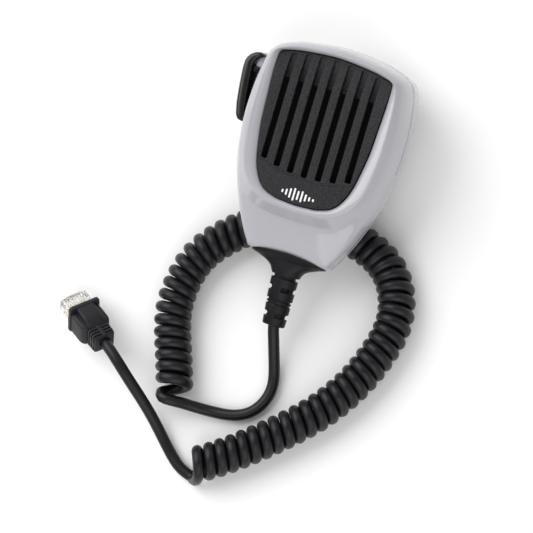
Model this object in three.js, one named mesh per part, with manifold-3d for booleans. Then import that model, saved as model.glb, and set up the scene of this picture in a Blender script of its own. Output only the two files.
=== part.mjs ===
// Hand microphone with a push-to-talk lever, a hang-up button on its back and a
// curly cord that ends in a hooded eight-contact modular plug.
//
// Row frame, millimetres: origin at the centre of the hang-up button's end face,
// +Y toward the microphone's top, +Z up. The microphone lies face up on the button
// and on the cord. Microphone frame (mic): x to the right seen from the front,
// y toward the top, z out of the front, z = 0 on the parting plane of the shells.

import * as THREE from 'three';
import { mergeVertices } from 'three/addons/utils/BufferGeometryUtils.js';
import Module from 'manifold-3d';

const wasm = await Module();
wasm.setup();

// ---------------------------------------------------------------- dimensions
const MIC_TILT = THREE.MathUtils.degToRad(7.5); // face tilt against the ground
const MIC_Y = -12;            // mic frame's origin in the row frame
const MIC_Z = 25.5;
const GAP = 0.3;              // clearance between separate pieces
const WALL = 2.0;             // shell wall
const BACK_Z = 10;            // level of the flat back (row frame)
const CHIN_Z = 15.7;          // level of the chin's underside (row frame)
const BUTTON_R = 9.5;         // hang-up button head radius
const BUTTON_H = 3.6;         // head thickness
const SPACER_R = 4.5;
const WIRE_D = 4.5;           // cord diameter
const COIL_OD = 15.2;         // curly part's outer diameter
const COIL_Z = 7.6;           // curly part's axis height
const GRILLE_BACK = 12.9;
const GRILLE_FRONT = 15.6;
const SLOT_W = 2.5;
const SLOT_PITCH = 5.9;
const PTT_PIVOT = [-27.2, 6.0];
const PIN_R = 1.0;
const PLUG_ORIGIN = [-77.135, -101.326, 9.123];
const PLUG_NOSE = [-0.82142987, 0.45637193, -0.34201994]; // plug's axis, toward the nose
const PLUG_UP = [0.03619756, 0.64022044, 0.76733795];      // latch side
const NOSE = 8.0;             // clear body's length in front of the hood
const HOOD_L = 17.4;

// ------------------------------------------------- front shell's control net
// One row per station round the outline, top centre to bottom centre (right half):
// [x, y, z] on seven rings, from the parting line over the crest to the grille's edge.
const FRONT = [
  [[0, 42.7, 0.15], [0, 42.5, 6], [0, 42.1, 10.5], [0, 41.4, 14.2], [0, 40.0, 16.8], [0, 39.2, 16.2], [0, 38.4, 14.8]],
  [[14, 41.4, 0.15], [13.9, 41.2, 6], [13.8, 40.8, 10.5], [13.6, 40.1, 14.2], [13.4, 38.9, 16.8], [13.2, 38.2, 16.2], [13.0, 37.4, 14.8]],
  [[22, 39.5, 0.15], [21.8, 39.3, 6], [21.6, 38.9, 10.5], [21.2, 38.3, 14.2], [20.6, 37.2, 16.8], [20.2, 36.7, 16.2], [19.6, 36.2, 14.8]],
  [[27.2, 36.9, 0.15], [27.0, 36.7, 6], [26.6, 36.3, 10.5], [25.9, 35.7, 14.2], [24.8, 34.9, 16.8], [24.3, 34.7, 16.2], [23.3, 34.9, 14.8]],
  [[29.8, 32.6, 0.15], [29.5, 32.5, 6], [29.0, 32.3, 10.5], [28.2, 32.1, 14.2], [26.4, 31.6, 16.8], [25.3, 31.6, 16.2], [24.0, 31.9, 14.8]],
  [[31.4, 25.4, 0.15], [31.1, 25.4, 6], [30.5, 25.4, 10.5], [29.5, 25.4, 14.2], [27.2, 25.4, 16.8], [25.6, 25.4, 16.2], [23.9, 25.4, 14.8]],
  [[32.4, 16.6, 0.15], [32.1, 16.6, 6], [31.5, 16.6, 10.5], [30.3, 16.6, 14.2], [27.6, 16.6, 16.8], [25.7, 16.6, 16.2], [23.5, 16.6, 14.8]],
  [[32.5, 5.0, 0.15], [32.2, 5.0, 6], [31.6, 5.0, 10.5], [30.3, 5.0, 14.2], [27.4, 5.0, 16.8], [25.1, 5.0, 16.2], [22.8, 5.0, 14.8]],
  [[30.9, -9.3, 0.15], [30.6, -9.2, 6], [29.9, -9.1, 10.2], [28.3, -8.9, 13.6], [25.4, -8.6, 16.4], [23.0, -8.3, 16.0], [20.6, -8.1, 14.8]],
  [[28.0, -21.0, 0.15], [27.7, -20.7, 5.4], [26.9, -20.2, 9.0], [24.3, -18.7, 12.2], [21.6, -17.0, 15.9], [19.7, -15.9, 15.8], [17.9, -14.9, 14.8]],
  [[23.7, -32.3, 0.15], [23.4, -32.0, 4.6], [22.2, -31.2, 7.6], [19.0, -26.0, 10.0], [16.4, -21.2, 15.6], [15.4, -20.0, 15.6], [14.4, -18.9, 14.8]],
  [[19.2, -40.6, 0.15], [18.9, -40.3, 3.9], [17.7, -39.3, 6.6], [12.6, -28.0, 9.4], [11.2, -22.9, 15.5], [10.5, -21.7, 15.5], [9.9, -20.7, 14.8]],
  [[15.5, -43.6, 0.15], [15.1, -43.2, 3.8], [13.9, -41.9, 6.4], [8.2, -28.6, 9.3], [7.3, -23.5, 15.4], [6.8, -22.3, 15.4], [6.4, -21.3, 14.8]],
  [[0, -42.2, 0.15], [0, -42.0, 3.8], [0, -40.9, 6.6], [0, -28.8, 9.2], [0, -23.8, 15.4], [0, -22.7, 15.4], [0, -21.7, 14.8]],
];
const PER_SEG = 2; // samples per station

// rear shell: [fraction of the depth, inset from the outline]
const REAR_OUT = [[0, 0], [0.3, 0.25], [0.58, 0.8], [0.8, 2.0], [0.93, 4.0], [0.985, 6.4], [1, 9.2]];
const REAR_CAP = [0.82, 0.62, 0.42, 0.2];
const REAR_IN = [[1, 10.4], [0.97, 7.4], [0.88, 5.0], [0.7, 3.5], [0.45, 2.5], [0.2, 2.15], [0, 2.0]];

// ------------------------------------------------------ cord, row frame, mm
const COIL_AXIS = [[-31.0, -119.5], [-33.1, -113.2], [-35.5, -106.9], [-37.9, -100.8], [-40.3, -94.5], [-41.9, -88.1], [-42.3, -81.4], [-41.7, -74.8], [-40.2, -68.3], [-37.4, -62.3], [-33.4, -57.0], [-28.8, -52.2], [-23.7, -47.9], [-18.1, -44.2], [-12.2, -41.2], [-5.9, -39.0], [0.6, -37.7], [7.3, -37.4], [13.9, -38.1], [20.4, -39.6], [26.8, -41.4], [32.9, -44.1], [38.1, -48.2], [42.1, -53.5], [44.7, -59.6], [45.7, -66.2], [45.2, -72.8], [43.7, -79.3], [41.6, -85.6], [39.0, -91.8], [35.9, -97.7], [32.3, -103.3], [28.3, -108.6], [23.9, -113.6], [19.2, -118.3], [14.4, -122.9], [9.4, -127.4], [4.3, -131.7], [-0.9, -135.8], [-6.2, -139.8], [-11.7, -143.5]];
const LEAD_MIC = [[0, -82.75, 10.6], [0.5, -84.4, 10.05], [1.62, -87.91, 8.28], [2.54, -91.75, 6.33], [3.56, -95.66, 4.57], [4.64, -99.7, 3.2], [5.48, -103.97, 2.5], [5.37, -108.35, 2.3], [4.03, -112.54, 2.3], [1.68, -116.25, 2.3], [-1.69, -119.06, 2.3], [-5.71, -120.84, 2.3], [-10.03, -121.71, 2.3], [-14.41, -122.15, 2.4], [-18.78, -122.43, 2.85], [-22.95, -122.6, 4.2], [-26.77, -122.8, 6.1], [-29.6, -122.4, 7.2], [-30.9, -120.0, 7.5]];
const LEAD_PLUG = [[-12.55, -144.05, 6.1], [-15.0, -145.8, 5.2], [-17.0, -147.2, 3.5], [-19.6, -147.0, 2.5], [-22.4, -146.1, 2.3], [-25.84, -143.19, 2.41], [-29.05, -140.05, 2.88], [-32.07, -136.83, 3.85], [-34.94, -133.69, 5.34], [-37.75, -130.69, 7.21], [-40.56, -127.85, 9.32], [-43.41, -125.11, 11.5], [-46.39, -122.38, 13.52], [-49.48, -119.59, 15.27], [-52.74, -116.71, 16.48], [-56.19, -113.83, 16.82], [-59.0, -111.7, 16.35], [-61.03, -110.27, 15.83], [-62.55, -109.43, 15.19]];

// ------------------------------------------------------------------- helpers
function geomFrom(points, tris) {
  const g = new THREE.BufferGeometry();
  g.setAttribute('position', new THREE.Float32BufferAttribute(points.flat(), 3));
  g.setIndex(tris.flat());
  return g;
}

// closed body from rings of equal length; 'loop' joins the last ring to the first,
// otherwise both ends are closed with a fan about the ring's mean point
function loft(rings, loop = false) {
  const n = rings[0].length, pts = rings.flat(), tris = [];
  const m = rings.length;
  for (let k = 0; k < (loop ? m : m - 1); k++) {
    const a = k * n, b = ((k + 1) % m) * n;
    for (let i = 0; i < n; i++) {
      const j = (i + 1) % n;
      tris.push([a + i, a + j, b + j], [a + i, b + j, b + i]);
    }
  }
  if (!loop) {
    for (const [k, flip] of [[0, true], [m - 1, false]]) {
      const c = [0, 0, 0];
      for (const p of rings[k]) for (let d = 0; d < 3; d++) c[d] += p[d] / n;
      pts.push(c);
      for (let i = 0; i < n; i++) {
        const j = (i + 1) % n;
        tris.push(flip ? [k * n + j, k * n + i, pts.length - 1] : [k * n + i, k * n + j, pts.length - 1]);
      }
    }
  }
  let v = 0;
  for (const [a, b, c] of tris) {
    const A = new THREE.Vector3(...pts[a]), B = new THREE.Vector3(...pts[b]), C = new THREE.Vector3(...pts[c]);
    v += A.dot(B.cross(C));
  }
  if (v < 0) for (const t of tris) t.reverse();
  return geomFrom(pts, tris);
}

function toManifold(geometry) {
  let g = geometry.clone();
  g.deleteAttribute('normal');
  g.deleteAttribute('uv');
  g = mergeVertices(g, 1e-4);
  const vertProperties = new Float32Array(g.attributes.position.array);
  const triVerts = new Uint32Array(g.index.array);
  return new wasm.Manifold(new wasm.Mesh({ numProp: 3, vertProperties, triVerts }));
}
function fromManifold(man) {
  const m = man.getMesh();
  const g = new THREE.BufferGeometry();
  g.setAttribute('position', new THREE.Float32BufferAttribute(new Float32Array(m.vertProperties), 3));
  g.setIndex(new THREE.Uint32BufferAttribute(new Uint32Array(m.triVerts), 1));
  return g;
}
const cut = (g, ...tools) => fromManifold(tools.reduce((s, t) => s.subtract(toManifold(t)), toManifold(g)));
const common = (a, b) => fromManifold(toManifold(a).intersect(toManifold(b)));
const join = (g, ...adds) => fromManifold(adds.reduce((s, t) => s.add(toManifold(t)), toManifold(g)));

function boxAt(x0, x1, y0, y1, z0, z1) {
  const g = new THREE.BoxGeometry(x1 - x0, y1 - y0, z1 - z0);
  g.translate((x0 + x1) / 2, (y0 + y1) / 2, (z0 + z1) / 2);
  return g;
}
// cylinder or turned body along z; profile is [radius, z] from the axis back to it
function turned(profile, x = 0, y = 0, seg = 24) {
  const g = new THREE.LatheGeometry(profile.map(([r, z]) => new THREE.Vector2(r, z)), seg);
  g.rotateX(Math.PI / 2);
  g.translate(x, y, 0);
  return g;
}
const rod = (r, z0, z1, x = 0, y = 0, seg = 20) => turned([[0, z0], [r, z0], [r, z1], [0, z1]], x, y, seg);
const ring = (r0, r1, z0, z1, x = 0, y = 0, seg = 28) =>
  turned([[r0, z0], [r1, z0], [r1, z1], [r0, z1], [r0, z0]], x, y, seg);
const screw = (x, y, zHead, headH, headR, shankR, zTip) => (zTip > zHead
  ? turned([[0, zHead], [headR * 0.85, zHead], [headR, zHead + headH * 0.4], [headR, zHead + headH], [shankR, zHead + headH], [shankR, zTip - 0.6], [shankR * 0.6, zTip], [0, zTip]], x, y, 10)
  : turned([[0, zTip], [shankR * 0.6, zTip], [shankR, zTip + 0.6], [shankR, zHead - headH], [headR, zHead - headH], [headR, zHead - headH * 0.4], [headR * 0.85, zHead], [0, zHead]], x, y, 10));

function extrude(outline, depth, bevel = 0, holes = []) {
  const shape = new THREE.Shape(outline.map(([x, y]) => new THREE.Vector2(x, y)));
  for (const h of holes) shape.holes.push(new THREE.Path(h.map(([x, y]) => new THREE.Vector2(x, y))));
  return new THREE.ExtrudeGeometry(shape, {
    depth: depth - 2 * bevel, bevelEnabled: bevel > 0, bevelThickness: bevel, bevelSize: bevel,
    bevelOffset: -bevel, bevelSegments: 2, curveSegments: 6,
  });
}
function circle(x, y, r, n = 20, clockwise = false) {
  const out = [];
  for (let i = 0; i < n; i++) {
    const a = (clockwise ? -1 : 1) * 2 * Math.PI * i / n;
    out.push([x + r * Math.cos(a), y + r * Math.sin(a)]);
  }
  return out;
}
function tube(points, radius, sides, steps) {
  const curve = new THREE.CatmullRomCurve3(points.map((p) => new THREE.Vector3(...p)), false, 'centripetal');
  const section = new THREE.Shape(circle(0, 0, radius, sides).map(([x, y]) => new THREE.Vector2(x, y)));
  return new THREE.ExtrudeGeometry(section, { steps, extrudePath: curve, bevelEnabled: false });
}

// uniform Catmull-Rom through a closed list of points
function closedSpline(ctrl, per) {
  const n = ctrl.length, out = [];
  for (let i = 0; i < n; i++) {
    const p = [-1, 0, 1, 2].map((k) => ctrl[(i + k + n) % n]);
    for (let s = 0; s < per; s++) {
      const t = s / per, t2 = t * t, t3 = t2 * t;
      out.push([0, 1, 2].map((d) => 0.5 * (2 * p[1][d] + (p[2][d] - p[0][d]) * t
        + (2 * p[0][d] - 5 * p[1][d] + 4 * p[2][d] - p[3][d]) * t2
        + (3 * p[1][d] - p[0][d] - 3 * p[2][d] + p[3][d]) * t3)));
    }
  }
  return out;
}
function ringOf(net, k, per = PER_SEG) {
  const right = net.map((row) => row[k]);
  const left = right.slice(1, -1).reverse().map(([x, y, z]) => [-x, y, z]);
  return closedSpline([...right, ...left], per);
}
const inset = (p, d) => {
  const r = Math.hypot(p[0], p[1]), f = (r - d) / r;
  return [p[0] * f, p[1] * f, p[2]];
};
const smooth = (t) => { const c = Math.min(1, Math.max(0, t)); return c * c * (3 - 2 * c); };
// height of the back surface in the mic frame, at mic y
function backZ(y) {
  const level = BACK_Z + (CHIN_Z - BACK_Z) * smooth((-9 - y) / 10.5);
  return (level - MIC_Z - y * Math.sin(MIC_TILT)) / Math.cos(MIC_TILT);
}

const root = new THREE.Group();
const mic = new THREE.Group();
mic.rotation.x = MIC_TILT;
mic.position.set(0, MIC_Y, MIC_Z);
root.add(mic);
const plug = new THREE.Group();
{
  const n = new THREE.Vector3(...PLUG_NOSE).normalize();
  const u0 = new THREE.Vector3(...PLUG_UP);
  const x = new THREE.Vector3().crossVectors(n, u0).normalize();
  const u = new THREE.Vector3().crossVectors(x, n);
  plug.applyMatrix4(new THREE.Matrix4().makeBasis(x, n, u).setPosition(...PLUG_ORIGIN));
}
root.add(plug);

const MAT = {
  shell: [0xb9b9be, 0.22, 0], rubber: [0x1b1b1e, 0.75, 0], grille: [0x17171a, 0.7, 0],
  gloss: [0x101012, 0.12, 0], cord: [0x232327, 0.5, 0], clear: [0xe4e6e2, 0.1, 0],
  gold: [0xc9a24a, 0.3, 1], steel: [0xb4b6b8, 0.3, 1], board: [0x1d5a37, 0.5, 0],
  mesh: [0x0c0c0e, 0.9, 0], foam: [0x2a2a2d, 0.9, 0], part: [0x222224, 0.5, 0], spring: [0x9a9c9f, 0.3, 1],
  wire: [0x6b2f2a, 0.5, 0], cream: [0xd8d4c4, 0.4, 0],
};
function add(group, name, geometry, mat) {
  const [color, roughness, metalness] = MAT[mat];
  const m = new THREE.Mesh(geometry, new THREE.MeshStandardMaterial({ color, roughness, metalness }));
  m.name = name;
  group.add(m);
}

// ------------------------------------------------------------------- housing
const SCREWS = [[26.2, 29.6], [-26.2, 29.6], [24.6, -7.0], [-24.6, -7.0]];
// seat of each screw's head in its counterbore
const screwSeat = (i) => backZ(SCREWS[i][1]) + (i < 2 ? 7.0 : 3.4);
// window in the left side wall for the push-to-talk lever
const windowBox = boxAt(-45, -27, 2.2, 26.6, -4.2, 7.6);
// passage for the cord boot's neck through the bottom wall
const neckHole = boxAt(-5.2, 5.2, -46, -37, -2.3, 3.3);
{
  const rings = [];
  for (let k = 0; k < 7; k++) rings.push(ringOf(FRONT, k));
  const edge = rings[6], crest = rings[4], foot = rings[3], sh2 = rings[2], sh1 = rings[1], base = rings[0];
  rings.push(edge.map((p) => [p[0], p[1], 12.6]));
  rings.push(crest.map((p, i) => [(p[0] + edge[i][0]) / 2, (p[1] + edge[i][1]) / 2, 12.6]));
  rings.push(foot.map((p) => { const q = inset(p, 1.9); return [q[0], q[1], p[2] - 2.0]; }));
  rings.push(sh2.map((p) => { const q = inset(p, 2.0); return [q[0], q[1], p[2] - 1.6]; }));
  rings.push(sh1.map((p) => { const q = inset(p, WALL); return [q[0], q[1], p[2] - 1.0]; }));
  rings.push(base.map((p) => inset(p, WALL)));
  let g = loft(rings, true);
  g = join(g, ...SCREWS.map(([x, y], i) => rod(i < 2 ? 2.3 : 2.9, 0.15, i < 2 ? 12.9 : 13.2, x, y, 16)));
  g = cut(g, windowBox, neckHole, ...SCREWS.map(([x, y]) => rod(1.4, -1, 8.6, x, y, 12)));
  add(mic, 'front_housing', g, 'shell');
}
{
  const outline = ringOf(FRONT, 0).map(([x, y]) => [x, y, -0.15]);
  const rings = [];
  for (const [f, d] of REAR_OUT) {
    rings.push(outline.map((p) => { const q = inset(p, d); return [q[0], q[1], -0.15 + f * (backZ(q[1]) + 0.15)]; }));
  }
  const last = outline.map((p) => inset(p, 9.2));
  for (const s of REAR_CAP) rings.push(last.map((p) => [p[0] * s, p[1] * s, backZ(p[1] * s)]));
  const solid = loft(rings);
  const inner = [];
  const lastIn = outline.map((p) => inset(p, 10.4));
  for (const s of [...REAR_CAP].reverse()) inner.push(lastIn.map((p) => [p[0] * s, p[1] * s, backZ(p[1] * s) + WALL]));
  for (const [f, d] of REAR_IN) {
    inner.push(outline.map((p) => { const q = inset(p, d); return [q[0], q[1], -0.15 + f * (backZ(q[1]) + WALL + 0.15)]; }));
  }
  inner.push(outline.map((p) => { const q = inset(p, WALL); return [q[0], q[1], 4]; }));
  const cavity = loft(inner);
  let g = cut(solid, cavity);
  const buttonHole = rod(1.8, -6, 6, 0, 0, 16);
  buttonHole.rotateX(-MIC_TILT);
  buttonHole.translate(0, -MIC_Y * Math.cos(MIC_TILT) + (11 - MIC_Z) * Math.sin(MIC_TILT),
    MIC_Y * Math.sin(MIC_TILT) + (11 - MIC_Z) * Math.cos(MIC_TILT));
  g = join(g, ...SCREWS.map(([x, y]) => common(rod(3.3, backZ(y) + 0.5, -0.15, x, y, 16), solid)));
  g = cut(g, windowBox, neckHole,
    ...SCREWS.map(([x, y], i) => rod(2.6, -26, screwSeat(i), x, y, 16)),
    ...SCREWS.map(([x, y]) => rod(1.4, -26, 3, x, y, 12)),
    buttonHole);
  add(mic, 'rear_housing', g, 'shell');
}
SCREWS.forEach(([x, y], i) => {
  add(mic, `housing_screw_${i + 1}`, screw(x, y, screwSeat(i) - 2.3, 2.0, 2.2, 1.05, 7.6), 'steel');
});

// ---------------------------------------------------- grille and microphone
{
  const edge = ringOf(FRONT, 6, 2).map((p) => { const q = inset(p, 0.35); return [q[0], q[1]]; });
  // slots as holes: straight sides, the top end follows the edge and the foot follows a shallow arc
  const slots = [];
  for (let i = -3; i <= 3; i++) {
    const x = i * SLOT_PITCH, top = 36.9 - 0.0066 * x * x - (Math.abs(i) === 3 ? 0.6 : 0);
    const bot = -10.3 + 0.0095 * x * x;
    const r = SLOT_W / 2, h = [];
    for (let k = 0; k <= 6; k++) { const a = Math.PI * k / 6; h.push([x + r * Math.cos(a), top - r * 0.7 + 0.7 * r * Math.sin(a)]); }
    for (let k = 0; k <= 6; k++) { const a = Math.PI + Math.PI * k / 6; h.push([x + r * Math.cos(a), bot + r * 0.7 + 0.7 * r * Math.sin(a)]); }
    slots.push(h.reverse());
  }
  const outline = edge.slice().reverse();
  const g = extrude(outline, GRILLE_FRONT - GRILLE_BACK, 0, slots);
  g.translate(0, 0, GRILLE_BACK);
  add(mic, 'grille', g, 'grille');
}
add(mic, 'dust_screen', boxAt(-19.6, 19.6, -12.0, 33.0, 12.2, 12.55), 'mesh');
add(mic, 'mic_capsule', turned([[0, 5.4], [4.6, 5.4], [4.85, 5.7], [4.85, 11.6], [4.6, 11.85], [0, 11.85]], 0, 9, 20), 'steel');
add(mic, 'capsule_cushion', ring(5.2, 7.4, 5.2, 11.85, 0, 9, 20), 'foam');

// ------------------------------------------------------------ circuit board
{
  const o = [[-20.6, -10], [20.6, -10], [20.6, -3.2], [24.5, -3.2], [25, 4], [25, 21], [22.4, 24.6], [22.4, 34], [-22.4, 34], [-22.4, 25.6], [-24.6, 25.6], [-24.6, 17], [-23.6, 11], [-23.6, -3.2], [-20.6, -3.2]];
  const g = extrude(o, 1.6, 0, [circle(20, 4, 1.4, 12, true), circle(-19, 4, 1.4, 12, true)]);
  g.translate(0, 0, -3.4);
  add(mic, 'circuit_board', g, 'board');
}
add(mic, 'board_screw_1', screw(20, 4, -0.3, 1.2, 2.1, 1.0, -8.5), 'steel');
add(mic, 'board_screw_2', screw(-19, 4, -0.3, 1.2, 2.1, 1.0, -8.5), 'steel');
add(mic, 'wire_connector', boxAt(3.5, 13.5, -6, -1.2, -1.4, 3.4), 'cream');
add(mic, 'internal_leads', tube([[0, -35.9, 0.6], [0.6, -30, 0.6], [3.5, -20, 0.8], [7.2, -12, 1.0], [8.4, -6.4, 1.0]], 1.5, 8, 8), 'wire');
{
  const g = extrude([[-8, -31.8], [8, -31.8], [8, -27.6], [-8, -27.6]], 1.2, 0,
    [circle(-5.6, -29.7, 1.35, 12, true), circle(5.6, -29.7, 1.35, 12, true)]);
  g.translate(0, 0, 2.6);
  add(mic, 'cord_clamp', g, 'steel');
}
add(mic, 'cord_clamp_screw_1', screw(-5.6, -29.7, 5.1, 1.0, 1.9, 1.0, -1.4), 'steel');
add(mic, 'cord_clamp_screw_2', screw(5.6, -29.7, 5.1, 1.0, 1.9, 1.0, -1.4), 'steel');

// ------------------------------------------------------- push-to-talk lever
{
  const [px, py] = PTT_PIVOT;
  const o = [
    [-33.4, 3.3], [-35.2, 3.6], [-36.4, 5.2], [-37.4, 10], [-38.3, 17], [-38.9, 24], [-38.8, 27.2], [-37.6, 29.6],
    [-35.2, 31.3], [-33.7, 31.6], [-33.2, 30.8], [-33.2, 27.2], [-32.4, 26.0], [-30.0, 25.6], [-29.6, 24.6],
    [-29.6, 23.2], [-27.5, 23.2], [-27.4, 20.8], [-29.6, 20.8], [-29.8, 10.0], [-28.9, 8.6], [-27.2, 8.5],
    [-25.4, 7.8], [-24.8, 6.2], [-25.3, 4.5], [-26.8, 3.6], [-29.0, 3.4],
  ];
  const g = extrude(o, 10.4, 0, [circle(px, py, PIN_R + GAP, 16, false)]);
  g.translate(0, 0, -3.6);
  add(mic, 'ptt_lever', g, 'gloss');
  add(mic, 'ptt_pivot_pin', rod(PIN_R, -9.2, 8.6, px, py, 16), 'steel');
  add(mic, 'ptt_return_spring', ring(PIN_R + 0.35, 2.3, -6.6, -4.4, px, py, 20), 'spring');
}
{
  const body = boxAt(-25.3, -19.8, 18.4, 25.0, -1.45, 4.6);
  const hole = rod(1.6, 0, 3.4, 0, 0, 16);
  hole.rotateY(Math.PI / 2);
  hole.translate(-25.5, 22, 1.5);
  add(mic, 'ptt_switch_body', cut(body, hole), 'part');
  const p = turned([[0, 0], [0.9, 0], [1.2, 0.4], [1.2, 3.3], [0, 3.3]], 0, 0, 16);
  p.rotateY(Math.PI / 2);
  p.translate(-27.1, 22, 1.5);
  add(mic, 'ptt_switch_plunger', p, 'cream');
}

// ----------------------------------------------------------- hang-up button
add(root, 'hang_button_head', turned([[0, 0], [BUTTON_R - 0.8, 0], [BUTTON_R, 0.8], [BUTTON_R, BUTTON_H - 0.7], [BUTTON_R - 0.7, BUTTON_H], [1.8, BUTTON_H], [1.8, 1.4], [0, 1.4]], 0, 0, 32), 'steel');
add(root, 'hang_button_spacer', ring(1.8, SPACER_R, BUTTON_H + GAP, BACK_Z - GAP, 0, 0, 24), 'steel');
add(root, 'hang_button_screw', turned([[0, 1.7], [1.45, 1.7], [1.45, BACK_Z + 2.35], [3.6, BACK_Z + 2.35], [3.6, BACK_Z + 3.9], [2.8, BACK_Z + 4.6], [0, BACK_Z + 4.6]], 0, 0, 20), 'steel');

// ---------------------------------------------------------------- cord boot
{
  // [y, centre z, half width, half height, squareness]
  const S = [
    [-36.3, 0.9, 6.6, 2.9, 4], [-38.6, 0.9, 6.6, 2.9, 4], [-38.7, 0.5, 4.8, 2.4, 4], [-42.6, 0.5, 4.8, 2.4, 4],
    [-42.75, -0.7, 15.2, 4.9, 3.2], [-43.6, -0.8, 13.9, 5.0, 3], [-44.6, -1.0, 11.8, 5.1, 2.8], [-46.2, -1.25, 8.8, 5.3, 2.5],
    [-47.8, -1.5, 7.0, 5.5, 2.2], [-50.4, -2.0, 5.9, 5.5, 2], [-50.9, -2.05, 5.0, 4.9, 2], [-51.6, -2.2, 5.0, 4.9, 2],
    [-51.9, -2.25, 5.5, 5.4, 2], [-60.9, -3.7, 5.2, 5.15, 2], [-61.1, -3.75, 4.5, 4.5, 2], [-62.3, -3.95, 4.5, 4.5, 2],
    [-62.5, -4.0, 5.05, 5.0, 2], [-70.7, -5.4, 4.6, 4.6, 2], [-71.2, -5.5, 4.2, 4.2, 2],
  ];
  const n = 22;
  const rings = S.map(([y, zc, hw, hh, p]) => Array.from({ length: n }, (_, i) => {
    const a = 2 * Math.PI * i / n, c = Math.cos(a), s = Math.sin(a);
    const x = hw * Math.sign(c) * Math.abs(c) ** (2 / p);
    return [x, y - 1.9 * (x / 15.5) ** 2, zc + hh * Math.sign(s) * Math.abs(s) ** (2 / p)];
  }));
  add(mic, 'cord_boot', loft(rings), 'rubber');
}

// --------------------------------------------------------------------- cord
add(root, 'lead_mic_end', tube(LEAD_MIC, WIRE_D / 2, 8, 30), 'cord');
add(root, 'coil', tube(COIL_AXIS.map(([x, y]) => [x, y, COIL_Z]), COIL_OD / 2, 14, 52), 'cord');
add(root, 'lead_plug_end', tube(LEAD_PLUG, WIRE_D / 2, 8, 26), 'cord');

// --------------------------------------------------------------------- plug
{
  // hood: flange, stepped body and grip; the plug's rear half sits in its cavity
  const sect = (y, x1, z0, z1, r) => {
    const out = [], q = [[x1 - r, z1 - r, 0], [-x1 + r, z1 - r, 1], [-x1 + r, z0 + r, 2], [x1 - r, z0 + r, 3]];
    for (const [cx, cz, k] of q) for (let s = 0; s <= 2; s++) {
      const a = Math.PI / 2 * (k + s / 2);
      out.push([cx + r * Math.cos(a), y, cz + r * Math.sin(a)]);
    }
    return out;
  };
  const hood = loft([
    sect(0, 6.9, -5.5, 7.5, 0.9), sect(-1.9, 6.9, -5.5, 7.5, 0.9), sect(-2.0, 6.7, -5.2, 7.2, 0.9), sect(-10.6, 6.5, -5.1, 6.9, 1.2),
    sect(-12.4, 5.2, -4.6, 4.9, 1.2), sect(-16.9, 4.7, -4.3, 4.3, 1.1), sect(-HOOD_L, 4.4, -4.0, 4.0, 0.9),
  ]);
  add(plug, 'plug_hood', cut(hood, boxAt(-6.14, 6.14, -10.3, 1, -4.3, 4.3), boxAt(-3.6, 3.6, -9.4, 1, 4.0, 6.7)), 'rubber');
  const body = boxAt(-5.84, 5.84, -10.0, NOSE, -4.0, 4.0);
  add(plug, 'plug_body', cut(body, boxAt(-4.6, 4.6, NOSE - 5.6, NOSE + 1, -5, -1.4)), 'clear');
  for (let i = 0; i < 8; i++) {
    const x = (i - 3.5) * 1.02;
    add(plug, `plug_contact_${i + 1}`, boxAt(x - 0.17, x + 0.17, NOSE - 5.2, NOSE - 0.5, -3.6, -1.75), 'gold');
  }
  const o = [[NOSE - 0.3, 4.3], [NOSE - 0.3, 5.0], [NOSE - 1.2, 5.5], [-5.5, 6.35], [-6.0, 6.2], [-6.0, 5.5], [-2.5, 5.2], [NOSE - 2.4, 4.6], [NOSE - 2.2, 4.3]];
  const latch = extrude(o.map(([y, z]) => [y, z]), 6.2);
  latch.applyMatrix4(new THREE.Matrix4().makeBasis(new THREE.Vector3(0, 1, 0), new THREE.Vector3(0, 0, 1), new THREE.Vector3(1, 0, 0)).setPosition(-3.1, 0, 0));
  add(plug, 'plug_latch', latch, 'clear');
}

export default root;
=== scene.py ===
import math

import bmesh
import bpy
import numpy as np
from mathutils import Matrix, Vector


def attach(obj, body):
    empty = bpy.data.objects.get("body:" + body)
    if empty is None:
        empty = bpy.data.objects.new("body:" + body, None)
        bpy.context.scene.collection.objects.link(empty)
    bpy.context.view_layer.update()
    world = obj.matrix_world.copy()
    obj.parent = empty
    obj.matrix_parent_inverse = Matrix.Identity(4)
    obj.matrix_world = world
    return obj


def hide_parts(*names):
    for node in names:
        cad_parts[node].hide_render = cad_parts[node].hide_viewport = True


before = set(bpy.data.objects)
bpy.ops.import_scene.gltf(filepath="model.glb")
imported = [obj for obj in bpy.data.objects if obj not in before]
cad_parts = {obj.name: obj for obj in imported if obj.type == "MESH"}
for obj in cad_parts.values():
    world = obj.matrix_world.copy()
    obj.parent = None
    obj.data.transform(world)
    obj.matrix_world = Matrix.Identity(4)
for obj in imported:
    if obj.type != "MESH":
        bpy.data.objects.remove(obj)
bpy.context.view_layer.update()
MM = 0.001
P = math.radians(7.5)
MIC = Matrix.Translation((0, -0.012, 0.0255)) @ Matrix.Rotation(P, 4, "X")
ROOT = "microphone"

O = Vector((-77.135, -101.326, 9.123))
N = Vector((-0.8214298654, 0.4563719252, -0.3420199440)).normalized()
U = Vector((0.0361975561, 0.6402204408, 0.7673379465))
U = (U - N * U.dot(N)).normalized()
LX = N.cross(U)
PLUG = Matrix(((LX.x, N.x, U.x, O.x * MM), (LX.y, N.y, U.y, O.y * MM), (LX.z, N.z, U.z, O.z * MM), (0, 0, 0, 1)))

# ---------------------------------------------------------------- camera
RIGHT = Vector((0.92275809, 0.31333338, -0.22436509))
UP = Vector((-0.29328741, 0.94864057, 0.11858989))
BACK = Vector((0.25, -0.04362632, 0.9672625))
cam = bpy.data.objects.new("camera", bpy.data.cameras.new("camera"))
bpy.context.collection.objects.link(cam)
cam.data.sensor_width = 36
cam.data.lens = 253.3
cam.data.clip_end = 20
m = Matrix((RIGHT, UP, BACK)).transposed().to_4x4()
m.translation = Vector((0.36398975, -0.12574693, 1.45849375))
cam.matrix_world = m
bpy.context.scene.camera = cam

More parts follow.
